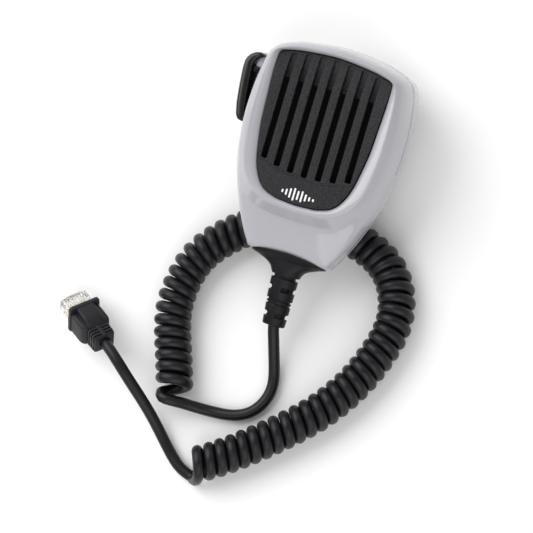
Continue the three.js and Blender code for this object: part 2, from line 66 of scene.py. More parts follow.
# ---------------------------------------------------------------- tables
FRONT = [
  [[0, 42.7, 0.15], [0, 42.5, 6], [0, 42.1, 10.5], [0, 41.4, 14.2], [0, 40.0, 16.8], [0, 39.2, 16.2], [0, 38.4, 14.8]],
  [[14, 41.4, 0.15], [13.9, 41.2, 6], [13.8, 40.8, 10.5], [13.6, 40.1, 14.2], [13.4, 38.9, 16.8], [13.2, 38.2, 16.2], [13.0, 37.4, 14.8]],
  [[22, 39.5, 0.15], [21.8, 39.3, 6], [21.6, 38.9, 10.5], [21.2, 38.3, 14.2], [20.6, 37.2, 16.8], [20.2, 36.7, 16.2], [19.6, 36.2, 14.8]],
  [[27.2, 36.9, 0.15], [27.0, 36.7, 6], [26.6, 36.3, 10.5], [25.9, 35.7, 14.2], [24.8, 34.9, 16.8], [24.3, 34.7, 16.2], [23.3, 34.9, 14.8]],
  [[29.8, 32.6, 0.15], [29.5, 32.5, 6], [29.0, 32.3, 10.5], [28.2, 32.1, 14.2], [26.4, 31.6, 16.8], [25.3, 31.6, 16.2], [24.0, 31.9, 14.8]],
  [[31.4, 25.4, 0.15], [31.1, 25.4, 6], [30.5, 25.4, 10.5], [29.5, 25.4, 14.2], [27.2, 25.4, 16.8], [25.6, 25.4, 16.2], [23.9, 25.4, 14.8]],
  [[32.4, 16.6, 0.15], [32.1, 16.6, 6], [31.5, 16.6, 10.5], [30.3, 16.6, 14.2], [27.6, 16.6, 16.8], [25.7, 16.6, 16.2], [23.5, 16.6, 14.8]],
  [[32.5, 5.0, 0.15], [32.2, 5.0, 6], [31.6, 5.0, 10.5], [30.3, 5.0, 14.2], [27.4, 5.0, 16.8], [25.1, 5.0, 16.2], [22.8, 5.0, 14.8]],
  [[30.9, -9.3, 0.15], [30.6, -9.2, 6], [29.9, -9.1, 10.2], [28.3, -8.9, 13.6], [25.4, -8.6, 16.4], [23.0, -8.3, 16.0], [20.6, -8.1, 14.8]],
  [[28.0, -21.0, 0.15], [27.7, -20.7, 5.4], [26.9, -20.2, 9.0], [24.3, -18.7, 12.2], [21.6, -17.0, 15.9], [19.7, -15.9, 15.8], [17.9, -14.9, 14.8]],
  [[23.7, -32.3, 0.15], [23.4, -32.0, 4.6], [22.2, -31.2, 7.6], [19.0, -26.0, 10.0], [16.4, -21.2, 15.6], [15.4, -20.0, 15.6], [14.4, -18.9, 14.8]],
  [[19.2, -40.6, 0.15], [18.9, -40.3, 3.9], [17.7, -39.3, 6.6], [12.6, -28.0, 9.4], [11.2, -22.9, 15.5], [10.5, -21.7, 15.5], [9.9, -20.7, 14.8]],
  [[15.5, -43.6, 0.15], [15.1, -43.2, 3.8], [13.9, -41.9, 6.4], [8.2, -28.6, 9.3], [7.3, -23.5, 15.4], [6.8, -22.3, 15.4], [6.4, -21.3, 14.8]],
  [[0, -42.2, 0.15], [0, -42.0, 3.8], [0, -40.9, 6.6], [0, -28.8, 9.2], [0, -23.8, 15.4], [0, -22.7, 15.4], [0, -21.7, 14.8]],
]
REAR_OUT = [[0, 0], [0.3, 0.25], [0.58, 0.8], [0.8, 2.0], [0.93, 4.0], [0.985, 6.4], [1, 9.2]]
REAR_CAP = [0.82, 0.62, 0.42, 0.2]
REAR_IN = [[1, 10.4], [0.97, 7.4], [0.88, 5.0], [0.7, 3.5], [0.45, 2.5], [0.2, 2.15], [0, 2.0]]
COIL_AXIS = [[-30.95, -119.47], [-33.09, -113.17], [-35.46, -106.94], [-37.95, -100.76], [-40.25, -94.51], [-41.88, -88.05], [-42.34, -81.42], [-41.74, -74.79], [-40.24, -68.30], [-37.41, -62.29], [-33.41, -56.97], [-28.76, -52.20], [-23.66, -47.92], [-18.14, -44.19], [-12.19, -41.20], [-5.91, -38.99], [0.61, -37.66], [7.26, -37.42], [13.88, -38.15], [20.39, -39.55], [26.79, -41.40], [32.87, -44.09], [38.12, -48.16], [42.09, -53.49], [44.66, -59.62], [45.70, -66.18], [45.20, -72.81], [43.67, -79.29], [41.56, -85.61], [38.99, -91.76], [35.89, -97.65], [32.30, -103.27], [28.32, -108.61], [23.92, -113.61], [19.20, -118.31], [14.37, -122.89], [9.43, -127.37], [4.35, -131.68], [-0.85, -135.84], [-6.19, -139.83], [-11.73, -143.53]]
LEAD_MIC = [[-0.00, -81.96, 10.64], [0.58, -83.97, 9.95], [1.13, -85.96, 9.17], [1.62, -87.91, 8.28], [2.08, -89.83, 7.30], [2.54, -91.75, 6.33], [3.04, -93.70, 5.41], [3.56, -95.66, 4.57], [4.10, -97.66, 3.81], [4.64, -99.70, 3.18], [5.12, -101.81, 2.75], [5.48, -103.97, 2.49], [5.59, -106.16, 2.34], [5.37, -108.35, 2.27], [4.82, -110.48, 2.25], [4.03, -112.54, 2.25], [3.00, -114.48, 2.25], [1.68, -116.25, 2.25], [0.10, -117.79, 2.25], [-1.69, -119.06, 2.25], [-3.65, -120.07, 2.25], [-5.71, -120.84, 2.25], [-7.86, -121.35, 2.25], [-10.03, -121.71, 2.26], [-12.22, -121.97, 2.31], [-14.41, -122.15, 2.39], [-16.61, -122.30, 2.53], [-18.78, -122.43, 2.85], [-20.91, -122.54, 3.41], [-22.95, -122.60, 4.23], [-24.90, -122.63, 5.27]]
TAIL = [[-14.12, -149.57, 2.25], [-16.31, -148.99, 2.25], [-18.45, -148.26, 2.25], [-20.49, -147.30, 2.25], [-22.40, -146.10, 2.27], [-24.17, -144.70, 2.31], [-25.84, -143.19, 2.41], [-27.47, -141.64, 2.58], [-29.05, -140.05, 2.88], [-30.58, -138.45, 3.30], [-32.07, -136.83, 3.85], [-33.52, -135.24, 4.53], [-34.94, -133.69, 5.34], [-36.35, -132.17, 6.24], [-37.75, -130.69, 7.21], [-39.15, -129.25, 8.24], [-40.56, -127.85, 9.32], [-41.97, -126.47, 10.42], [-43.41, -125.11, 11.50], [-44.88, -123.75, 12.54], [-46.39, -122.38, 13.52], [-47.92, -120.99, 14.44], [-49.48, -119.59, 15.27], [-51.08, -118.16, 15.96], [-52.74, -116.71, 16.48], [-54.44, -115.26, 16.77], [-56.19, -113.83, 16.82], [-57.97, -112.47, 16.60], [-59.78, -111.19, 16.15], [-61.61, -110.02, 15.53], [-63.45, -108.94, 14.81], [-65.31, -107.90, 14.05]]
SCREWS = [[26.2, 29.6], [-26.2, 29.6], [24.6, -7.0], [-24.6, -7.0]]


# ---------------------------------------------------------------- helpers
def new_object(name, verts, faces, matrix=None, sharp=32, fix=True, smooth=True):
    me = bpy.data.meshes.new(name)
    me.from_pydata([(v[0] * MM, v[1] * MM, v[2] * MM) for v in verts], [], faces)
    if matrix is not None:
        me.transform(matrix)
    ob = bpy.data.objects.new(name, me)
    bpy.context.collection.objects.link(ob)
    tidy(ob, sharp, fix, smooth)
    return ob


def tidy(ob, sharp=32, fix=True, smooth=True, weld=0.0):
    bm = bmesh.new()
    bm.from_mesh(ob.data)
    if weld:
        bmesh.ops.remove_doubles(bm, verts=bm.verts, dist=weld)
    if fix:
        bmesh.ops.recalc_face_normals(bm, faces=bm.faces)
    lim = math.radians(sharp)
    for f in bm.faces:
        f.smooth = smooth
    for e in bm.edges:
        e.smooth = not (len(e.link_faces) == 2 and e.calc_face_angle(0) > lim)
    bm.to_mesh(ob.data)
    bm.free()
    ob.data.update()


def baked(ob):
    dg = bpy.context.evaluated_depsgraph_get()
    me = bpy.data.meshes.new_from_object(ob.evaluated_get(dg))
    ob.modifiers.clear()
    ob.data = me
    return ob


def boolean(ob, tools, operation="DIFFERENCE", sharp=32):
    for t in tools:
        k = ob.modifiers.new("b", "BOOLEAN")
        k.operation = operation
        k.object = t
        k.solver = "EXACT"
    bpy.context.view_layer.update()
    baked(ob)
    for t in tools:
        bpy.data.objects.remove(t)
    tidy(ob, sharp, fix=False, weld=1e-7)
    return ob


def bevelled(ob, width, segments=3, angle=30, sharp=40):
    k = ob.modifiers.new("v", "BEVEL")
    k.width = width * MM
    k.segments = segments
    k.limit_method = "ANGLE"
    k.angle_limit = math.radians(angle)
    k.use_clamp_overlap = True
    bpy.context.view_layer.update()
    baked(ob)
    tidy(ob, sharp, fix=False)
    return ob


def merged(name, obs, sharp=32):
    verts, faces, n = [], [], 0
    for o in obs:
        verts += [tuple(v.co) for v in o.data.vertices]
        faces += [tuple(i + n for i in p.vertices) for p in o.data.polygons]
        n = len(verts)
    me = bpy.data.meshes.new(name)
    me.from_pydata(verts, [], faces)
    ob = bpy.data.objects.new(name, me)
    bpy.context.collection.objects.link(ob)
    for o in obs:
        bpy.data.objects.remove(o)
    tidy(ob, sharp, fix=False)
    return ob


def loft_faces(m, n, loop):
    out = []
    for k in range(m if loop else m - 1):
        a, b = k * n, ((k + 1) % m) * n
        for i in range(n):
            j = (i + 1) % n
            out.append((a + i, a + j, b + j, b + i))
    return out


def loft(name, rings, loop=False, matrix=None, sharp=32):
    n = len(rings[0])
    verts = [tuple(p) for r in rings for p in r]
    faces = loft_faces(len(rings), n, loop)
    if not loop:
        faces.append(tuple(reversed(range(n))))
        faces.append(tuple(range((len(rings) - 1) * n, len(rings) * n)))
    return new_object(name, verts, faces, matrix, sharp)


def lathe(name, profile, x=0.0, y=0.0, seg=48, matrix=None, sharp=28):
    """profile is (radius, z) from the axis and back to it."""
    verts, faces, rows = [], [], []
    for r, z in profile:
        if r < 1e-6:
            verts.append((x, y, z))
            rows.append([len(verts) - 1] * seg)
        else:
            rows.append([len(verts) + i for i in range(seg)])
            verts += [(x + r * math.cos(2 * math.pi * i / seg), y + r * math.sin(2 * math.pi * i / seg), z) for i in range(seg)]
    for a, b in zip(rows, rows[1:]):
        for i in range(seg):
            j = (i + 1) % seg
            f = []
            for v in (a[i], a[j], b[j], b[i]):
                if v not in f:
                    f.append(v)
            if len(f) > 2:
                faces.append(tuple(f))
    return new_object(name, verts, faces, matrix, sharp)


def box(name, x0, x1, y0, y1, z0, z1, matrix=None, bevel=0.0, segments=3):
    v = [(x, y, z) for z in (z0, z1) for y in (y0, y1) for x in (x0, x1)]
    f = [(0, 2, 3, 1), (4, 5, 7, 6), (0, 1, 5, 4), (2, 6, 7, 3), (0, 4, 6, 2), (1, 3, 7, 5)]
    ob = new_object(name, v, f, matrix, 32)
    if bevel:
        bevelled(ob, bevel, segments)
    return ob


def cylinder(name, a, b, r, seg=32, matrix=None):
    a, b = Vector(a), Vector(b)
    d = (b - a).normalized()
    u = d.orthogonal().normalized()
    w = d.cross(u)
    rings = [[p + (u * math.cos(2 * math.pi * i / seg) + w * math.sin(2 * math.pi * i / seg)) * r for i in range(seg)] for p in (a, b)]
    return loft(name, rings, matrix=matrix)


def plate(name, outline, z0, z1, bevel, holes=(), matrix=None, resolution=3, sharp=40):
    """a flat plate with rounded edges, from an outline and holes in x, y."""
    c = bpy.data.curves.new(name, "CURVE")
    c.dimensions = "2D"
    c.fill_mode = "BOTH"
    for loop in [outline, *holes]:
        s = c.splines.new("POLY")
        s.points.add(len(loop) - 1)
        for q, (x, y) in zip(s.points, loop):
            q.co = (x, y, 0, 1)
        s.use_cyclic_u = True
    c.extrude = (z1 - z0) / 2 - bevel
    c.bevel_depth = bevel
    c.bevel_resolution = resolution
    c.offset = -bevel
    tmp = bpy.data.objects.new(name + "_c", c)
    bpy.context.collection.objects.link(tmp)
    bpy.context.view_layer.update()
    me = bpy.data.meshes.new_from_object(tmp.evaluated_get(bpy.context.evaluated_depsgraph_get()))
    bpy.data.objects.remove(tmp)
    me.transform(Matrix.Translation((0, 0, (z0 + z1) / 2)))
    me.name = name
    ob = bpy.data.objects.new(name, me)
    bpy.context.collection.objects.link(ob)
    bm = bmesh.new()
    bm.from_mesh(me)
    bmesh.ops.remove_doubles(bm, verts=bm.verts, dist=1e-4)
    bm.to_mesh(me)
    bm.free()
    me.transform(Matrix.Scale(MM, 4))
    if matrix is not None:
        me.transform(matrix)
    tidy(ob, sharp)
    return ob


def spline(ctrl, per, closed=True):
    c = np.array(ctrl, float)
    n = len(c)
    out = []
    t = np.arange(per) / per
    for i in range(n if closed else n - 1):
        if closed:
            p = [c[(i + k) % n] for k in (-1, 0, 1, 2)]
        else:
            p = [c[min(max(i + k, 0), n - 1)] for k in (-1, 0, 1, 2)]
        for s in t:
            out.append(0.5 * (2 * p[1] + (p[2] - p[0]) * s + (2 * p[0] - 5 * p[1] + 4 * p[2] - p[3]) * s * s + (3 * p[1] - p[0] - 3 * p[2] + p[3]) * s**3))
    if not closed:
        out.append(c[-1])
    return np.array(out)


def ring_of(k, per):
    right = [row[k] for row in FRONT]
    left = [[-x, y, z] for x, y, z in reversed(right[1:-1])]
    return spline(right + left, per)


def inset(p, d):
    p = np.array(p, float)
    r = np.hypot(p[:, 0], p[:, 1])
    f = (r - d) / r
    return np.stack([p[:, 0] * f, p[:, 1] * f, p[:, 2]], 1)


def smooth(t):
    c = min(1.0, max(0.0, t))
    return c * c * (3 - 2 * c)


def back_z(y):
    level = 10 + 5.7 * smooth((-9 - y) / 10.5)
    return (level - 25.5 - y * math.sin(P)) / math.cos(P)


def rounded_profile(rings, fractions, seg=6):
    """rings of points, joined by straight runs with rounded corners; fractions say how far each corner's curve reaches."""
    out = [rings[0]]
    for k in range(1, len(rings) - 1):
        a, b, c = rings[k - 1], rings[k], rings[k + 1]
        f0, f1 = fractions[k]
        p, q = b + (a - b) * f0, b + (c - b) * f1
        for s in range(seg + 1):
            t = s / seg
            out.append(p * (1 - t) ** 2 + b * 2 * t * (1 - t) + q * t * t)
    out.append(rings[-1])
    return out


def rounded_polygon(points, radius, seg=5):
    out, n = [], len(points)
    for i in range(n):
        a, b, c = (np.array(points[(i + k) % n], float) for k in (-1, 0, 1))
        r = radius[i] if hasattr(radius, "__len__") else radius
        u, v = a - b, c - b
        lu, lv = np.linalg.norm(u), np.linalg.norm(v)
        k = min(r, 0.48 * lu, 0.48 * lv)
        p, q = b + u / lu * k, b + v / lv * k
        for s in range(seg + 1):
            t = s / seg
            out.append(tuple(p * (1 - t) ** 2 + b * 2 * t * (1 - t) + q * t * t))
    return out


# ---------------------------------------------------------------- materials
def material(name, color, roughness, metallic=0.0, bump=(), coat=0.0, transmission=0.0, ior=1.5, tint=0.0, tint_scale=60.0, tint_span=0.2, rough_var=0.0, rough_scale=400.0, specular=0.5):
    """bump is a list of (noise scale per metre, strength, distance in metres)."""
    mt = bpy.data.materials.new(name)
    mt.use_nodes = True
    nt = mt.node_tree
    b = nt.nodes["Principled BSDF"]
    b.inputs["Metallic"].default_value = metallic
    b.inputs["Roughness"].default_value = roughness
    b.inputs["IOR"].default_value = ior
    b.inputs["Coat Weight"].default_value = coat
    b.inputs["Coat Roughness"].default_value = 0.08
    b.inputs["Specular IOR Level"].default_value = specular
    b.inputs["Transmission Weight"].default_value = transmission
    b.inputs["Base Color"].default_value = (*color, 1)
    co = nt.nodes.new("ShaderNodeTexCoord")
    if tint:
        n = nt.nodes.new("ShaderNodeTexNoise")
        n.inputs["Scale"].default_value = tint_scale
        n.inputs["Detail"].default_value = 5
        nt.links.new(co.outputs["Object"], n.inputs["Vector"])
        r = nt.nodes.new("ShaderNodeValToRGB")
        r.color_ramp.elements[0].position = 0.5 - tint_span
        r.color_ramp.elements[1].position = 0.5 + tint_span
        r.color_ramp.elements[0].color = (*[c * (1 - tint) for c in color], 1)
        r.color_ramp.elements[1].color = (*[min(1, c * (1 + tint)) for c in color], 1)
        nt.links.new(n.outputs["Fac"], r.inputs["Fac"])
        nt.links.new(r.outputs["Color"], b.inputs["Base Color"])
    if rough_var:
        n = nt.nodes.new("ShaderNodeTexNoise")
        n.inputs["Scale"].default_value = rough_scale
        n.inputs["Detail"].default_value = 4
        nt.links.new(co.outputs["Object"], n.inputs["Vector"])
        r = nt.nodes.new("ShaderNodeMapRange")
        r.inputs["From Min"].default_value = 0.3
        r.inputs["From Max"].default_value = 0.7
        r.inputs["To Min"].default_value = max(0.02, roughness - rough_var)
        r.inputs["To Max"].default_value = roughness + rough_var
        nt.links.new(n.outputs["Fac"], r.inputs["Value"])
        nt.links.new(r.outputs["Result"], b.inputs["Roughness"])
    last = None
    for scale, strength, distance in bump:
        n = nt.nodes.new("ShaderNodeTexNoise")
        n.inputs["Scale"].default_value = scale
        n.inputs["Detail"].default_value = 3
        nt.links.new(co.outputs["Object"], n.inputs["Vector"])
        k = nt.nodes.new("ShaderNodeBump")
        k.inputs["Strength"].default_value = strength
        k.inputs["Distance"].default_value = distance
        nt.links.new(n.outputs["Fac"], k.inputs["Height"])
        if last is not None:
            nt.links.new(last.outputs["Normal"], k.inputs["Normal"])
        last = k
    if last is not None:
        nt.links.new(last.outputs["Normal"], b.inputs["Normal"])
    return mt


SHELL = material("shell_plastic", (0.384, 0.384, 0.412), 0.12, bump=[(2600, 0.04, 0.00003), (160, 0.03, 0.0002)], tint=0.02, tint_scale=45, rough_var=0.02, rough_scale=300, coat=0.35)
GRILLE = material("grille_grain", (0.0105, 0.0105, 0.0125), 0.5, bump=[(1500, 1.0, 0.00035), (3600, 0.6, 0.00015)], tint=0.8, tint_scale=1500, tint_span=0.13, rough_var=0.12, rough_scale=1500, specular=0.3)
GLOSS = material("gloss_black", (0.005, 0.005, 0.006), 0.16, bump=[(700, 0.06, 0.00005)], tint=0.2, tint_scale=200, rough_var=0.04, rough_scale=500, specular=0.45)
# light grey on a piece of the black lever: a painted highlight where light falls inside the lever's hook
FLANGE_HIGHLIGHT = material("flange_painted_highlight", (0.62, 0.62, 0.64), 0.2, bump=[(900, 0.05, 0.00005)], tint=0.1, tint_scale=200, rough_var=0.04)
BOOT = material("boot_rubber", (0.0055, 0.0055, 0.007), 0.42, specular=0.2, bump=[(3500, 0.25, 0.00005), (300, 0.05, 0.0002)], tint=0.12, tint_scale=150, rough_var=0.07)
CORD = material("cord_jacket", (0.0052, 0.0052, 0.0068), 0.36, specular=0.3, bump=[(2500, 0.15, 0.00005), (250, 0.06, 0.0003)], tint=0.15, tint_scale=120, rough_var=0.07, rough_scale=200)
HOOD = material("hood_rubber", (0.0125, 0.0125, 0.015), 0.5, specular=0.3, bump=[(3800, 0.3, 0.00005), (300, 0.05, 0.0002)], tint=0.1, tint_scale=200, rough_var=0.07)
CLEAR = material("clear_plastic", (0.97, 0.98, 0.98), 0.08, transmission=0.92, ior=1.3, bump=[(500, 0.04, 0.00005)])
GOLD = material("gold_plate", (0.88, 0.70, 0.42), 0.28, metallic=1.0, bump=[(3000, 0.1, 0.00003)], rough_var=0.06)
STEEL = material("plated_steel", (0.62, 0.62, 0.63), 0.3, metallic=1.0, bump=[(1800, 0.12, 0.00004)], rough_var=0.08, tint=0.06, tint_scale=300)
BOARD = material("board_green", (0.02, 0.10, 0.05), 0.4, bump=[(1200, 0.1, 0.00005)], tint=0.15, tint_scale=400)
SCREEN = material("dust_screen_weave", (0.004, 0.004, 0.004), 0.9, specular=0.1, bump=[(3000, 0.8, 0.0002)], tint=0.3, tint_scale=2500)
FOAM = material("foam", (0.03, 0.03, 0.03), 0.95, bump=[(2500, 0.9, 0.0003)], tint=0.3, tint_scale=2000)
PART = material("moulded_black", (0.025, 0.025, 0.027), 0.45, bump=[(2500, 0.2, 0.00005)], tint=0.1, tint_scale=300)
WIRE = material("wire_bundle", (0.30, 0.05, 0.04), 0.45, bump=[(2000, 0.2, 0.00005)], tint=0.2, tint_scale=300)
CREAM = material("cream_plastic", (0.72, 0.68, 0.55), 0.4, bump=[(2500, 0.1, 0.00005)], tint=0.04, tint_scale=200)
PRINT = material("white_print", (0.82, 0.82, 0.82), 0.5, bump=[(2600, 0.3, 0.00005)], tint=0.04, tint_scale=2000)


def put(ob, mat, body=ROOT, nodes=()):
    ob.data.materials.clear()
    ob.data.materials.append(mat)
    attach(ob, body)
    if nodes:
        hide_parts(*nodes)
    return ob


for names, mat, slot in (
    (("dust_screen",), SCREEN, "screen"),
    (("mic_capsule", "board_screw_1", "board_screw_2", "cord_clamp", "cord_clamp_screw_1", "cord_clamp_screw_2", "ptt_pivot_pin", "ptt_return_spring"), STEEL, "steel"),
    (("capsule_cushion",), FOAM, "rubber_part"),
    (("circuit_board",), BOARD, "board"),
    (("wire_connector",), CREAM, "connector"),
    (("internal_leads",), WIRE, "wire"),
    (("ptt_switch_body",), PART, "switch"),
    (("ptt_switch_plunger",), CREAM, "switch"),
):
    for name in names:
        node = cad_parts[name]
        node.data = node.data if node.data.users == 1 else node.data.copy()
        node.data.materials.clear()
        node.data.materials.append(mat)

# ---------------------------------------------------------------- cord
WIRE_R = 2.3
COIL_R = 5.35
axis = spline(COIL_AXIS + [[-13.6, -144.7]], 24, closed=False)
seg = np.r_[0, np.cumsum(np.linalg.norm(np.diff(axis, axis=0), axis=1))]
TOTAL = seg[-1]


def axis_at(s):
    return np.array([np.interp(s, seg, axis[:, 0]), np.interp(s, seg, axis[:, 1])])


def tangent_at(s):
    d = axis_at(min(s + 1.5, TOTAL)) - axis_at(max(s - 1.5, 0))
    return d / np.linalg.norm(d)


def pitch_at(s):
    u = s / TOTAL
    opened = 3.0 * math.exp(-((s / 3.5) ** 2)) + 0.5 * math.exp(-(((TOTAL - s) / 4.5) ** 2))
    return 4.62 + 0.2 * smooth((u - 0.62) / 0.2) + opened


ss = np.linspace(0, TOTAL, 6000)
rate = np.array([1 / pitch_at(s) for s in ss])
turns = np.r_[0, np.cumsum((rate[1:] + rate[:-1]) / 2 * np.diff(ss))]
TURNS = round(turns[-1])
turns *= TURNS / turns[-1]
PER_TURN = 20


def lean_at(s):
    t = tangent_at(s)
    ti = np.array([RIGHT.x * t[0] + RIGHT.y * t[1], UP.x * t[0] + UP.y * t[1]])
    ti /= np.linalg.norm(ti)
    v = float(0.327 * ti[0] + 0.353 * ti[1])
    a = math.atan(v)
    lim = math.radians(8 + 10 * smooth((s / TOTAL - 0.62) / 0.2))
    a = max(-lim, min(lim, a))
    return a * smooth(s / 9)


helix = []
for k in range(TURNS * PER_TURN + 1):
    s = float(np.interp(k / PER_TURN, turns, ss))
    t = tangent_at(s)
    c = axis_at(s)
    phi = math.pi + 2 * math.pi * k / PER_TURN
    r = np.array([t[1], -t[0]])
    h = COIL_R * math.sin(phi)
    shear = h * math.tan(lean_at(s))
    xy = c + r * COIL_R * math.cos(phi) + t * shear
    helix.append((xy[0], xy[1], 7.6 + h))
lead = [tuple(p) for p in LEAD_MIC if p[0] > -27.5 or p[1] > -115]
h0, h1 = np.array(helix[0]), np.array(helix[-1])
bridge_in = [(-27.6, -122.75, 7.1), (-30.0, -122.95, 8.9), (-32.6, -123.1, 9.9), (-35.0, -122.7, 9.3)]
bridge_out = [(h1[0] - 0.9, h1[1] - 0.9, 5.2), (h1[0] - 2.2, h1[1] - 1.1, 3.2)]
start = [(0.0, -79.2, 11.35), (0.0, -80.6, 11.0)]
tail = [tuple(p) for p in TAIL]
key = start + lead + bridge_in + helix + bridge_out + tail


def resampled(points, step):
    c = spline(points, 6, closed=False)
    keep = [0]
    for i in range(1, len(c)):
        if np.linalg.norm(c[i] - c[keep[-1]]) > 1e-6:
            keep.append(i)
    c = c[keep]
    L = np.r_[0, np.cumsum(np.linalg.norm(np.diff(c, axis=0), axis=1))]
    n = int(round(L[-1] / step)) + 1
    t = np.linspace(0, L[-1], n)
    return np.stack([np.interp(t, L, c[:, j]) for j in range(3)], 1), L[-1]


path, LENGTH = resampled(key, 1.7)
for _ in range(2):
    inner = (path[:-2] + 2 * path[1:-1] + path[2:]) / 4
    coil_part = np.zeros(len(path), bool)
    d = np.linalg.norm(path[:, None, :2] - axis[None, ::12], axis=2).min(1)
    coil_part = (d < 9) & (path[:, 2] > 0)
    far = ~coil_part[1:-1]
    path[1:-1][far] = inner[far]
path[:, 2] = np.maximum(path[:, 2], WIRE_R + 0.02)


def tube(name, path, radius, sides):
    t = np.gradient(path, axis=0)
    t /= np.linalg.norm(t, axis=1)[:, None]
    u = np.cross(t[0], (0, 0, 1.0))
    u /= np.linalg.norm(u)
    verts = []
    for i in range(len(path)):
        u = u - t[i] * np.dot(u, t[i])
        u /= np.linalg.norm(u)
        w = np.cross(t[i], u)
        for k in range(sides):
            a = 2 * math.pi * k / sides
            verts.append(path[i] + (u * math.cos(a) + w * math.sin(a)) * radius)
    faces = loft_faces(len(path), sides, False)
    faces.append(tuple(reversed(range(sides))))
    faces.append(tuple(range((len(path) - 1) * sides, len(path) * sides)))
    return new_object(name, verts, faces)


cord = put(tube("curly_cord", path, WIRE_R, 16), CORD, nodes=("lead_mic_end", "coil", "lead_plug_end"))

# ---------------------------------------------------------------- housing
window = lambda: box("w", -45, -27, 2.2, 26.6, -4.2, 7.6, MIC)
neck = lambda: box("n", -5.2, 5.2, -46, -37, -2.3, 3.3, MIC)


def pressed(points, deg):
    """points of the lever's outline, swung inward about its pin."""
    c, s = math.cos(math.radians(deg)), math.sin(math.radians(deg))
    return [(-27.2 + (x + 27.2) * c + (y - 6) * s, 6 - (x + 27.2) * s + (y - 6) * c) for x, y in points]


def pockets():
    """room in the side wall for the lever's hooked end when it is pressed."""
    hook = [(-40, 25.0), (-31.6, 25.0), (-31.8, 27.8), (-31.7, 28.6), (-31.0, 29.5), (-30.8, 31.4), (-32.6, 32.3), (-40, 32.6)]
    face = [(-40, 25.0), (-30.4, 25.0), (-30.4, 30.2), (-31.4, 31.2), (-40, 31.2)]
    return [
        plate("hook_cut", pressed(hook, 4.3), -4.0, 7.2, 0.0, (), MIC, 1),
        plate("face_cut", pressed(face, 4.3), 1.95, 4.0, 0.0, (), MIC, 1),
    ]


PER = 12
rings = [ring_of(k, PER) for k in range(7)]
chin = np.array([[smooth((-13 - y) / 8)] for y in rings[3][:, 1]])
F3 = 0.42 - 0.27 * chin
F = [None, (0.5, 0.5), (0.5, 0.45), (F3, F3), (0.2, 0.22), (0.26, 0.3), None]
outer = rounded_profile(rings, F, 7)
lip = rings[6]
down = inset(lip, 0.0)
down[:, 2] = 12.6
# rounded lip where the bevel turns down to the grille
mid = (rings[4] + lip) / 2
mid[:, 2] = 12.6
i3, i2, i1, i0 = inset(rings[3], 1.9), inset(rings[2], 2.0), inset(rings[1], 2.0), inset(rings[0], 2.0)
i3[:, 2] -= 2.0
i2[:, 2] -= 1.6
i1[:, 2] -= 1.0
base = rings[0].copy()
allr = [r for r in outer]
allr[-1:] = [lip + (outer[-2] - lip) * 0.12, inset(lip, -0.06) - (0, 0, 0.08), inset(lip, 0.0) - (0, 0, 0.3), down]
allr += [mid, i3, i2, i1, i0]
edge0 = base.copy()
edge0[:, 2] = 0.15
soft = inset(base, -0.0)
soft[:, 2] = 0.45
allr[0:1] = [inset(edge0, 0.3), soft]
front = loft("front_shell", [list(map(tuple, r)) for r in allr], loop=True, matrix=MIC, sharp=48)
boolean(front, [window(), neck(), *pockets()], sharp=48)
put(front, SHELL, nodes=("front_housing",))

base = ring_of(0, 10)
base[:, 2] = -0.15
prof = spline([[f, d] for f, d in REAR_OUT], 4, closed=False)
prof = np.clip(prof, 0, None)
rr = [inset(base, 0.25)]
for j, (f, d) in enumerate(prof):
    q = inset(base, d)
    bz = np.array([back_z(y) for y in q[:, 1]])
    z = -0.15 + f * (bz + 0.15)
    if j == 0:
        z = z - 0.3
    q[:, 2] = z
    rr.append(q)
last = inset(base, 9.2)
for s in (0.9, 0.78, 0.64, 0.5, 0.36, 0.22, 0.1):
    q = last * [s, s, 1]
    q[:, 2] = [back_z(y) for y in q[:, 1]]
    rr.append(q)
solid = loft("rear_shell", [list(map(tuple, r)) for r in rr], matrix=MIC, sharp=50)
whole = solid.copy()
whole.data = solid.data.copy()
bpy.context.collection.objects.link(whole)
inner = []
last = inset(base, 10.4)
for s in (0.2, 0.42, 0.62, 0.82):
    q = last * [s, s, 1]
    q[:, 2] = [back_z(y) + 2.0 for y in q[:, 1]]
    inner.append(q)
for f, d in REAR_IN:
    q = inset(base, d)
    q[:, 2] = [-0.15 + f * (back_z(y) + 2.15) for y in q[:, 1]]
    inner.append(q)
q = inset(base, 2.0)
q[:, 2] = 4
inner.append(q)
cavity = loft("cavity", [list(map(tuple, r)) for r in inner], matrix=MIC)
yb = 12 * math.cos(P) + (11 - 25.5) * math.sin(P)
boolean(solid, [cavity], sharp=50)
posts = [cylinder("post", (x, y, back_z(y) + 0.6), (x, y, -0.4), 3.3, 24, MIC) for x, y in SCREWS]
for post in posts:
    hull = whole.copy()
    hull.data = whole.data.copy()
    bpy.context.collection.objects.link(hull)
    boolean(post, [hull], "INTERSECT", 50)
bpy.data.objects.remove(whole)
boolean(solid, posts, "UNION", 50)
seats = [back_z(y) + (7.0 if i < 2 else 3.4) for i, (x, y) in enumerate(SCREWS)]
tools = [window(), neck(), *pockets()]
tools += [cylinder("c", (x, y, -26), (x, y, seats[i]), 2.6, 32, MIC) for i, (x, y) in enumerate(SCREWS)]
tools += [cylinder("c", (x, y, -26), (x, y, 3), 1.4, 24, MIC) for x, y in SCREWS]
tools.append(cylinder("c", (0, 0, 4 * MM / MM), (0, 0, 18), 1.8, 24))
boolean(solid, tools, sharp=50)
put(solid, SHELL, nodes=("rear_housing",))

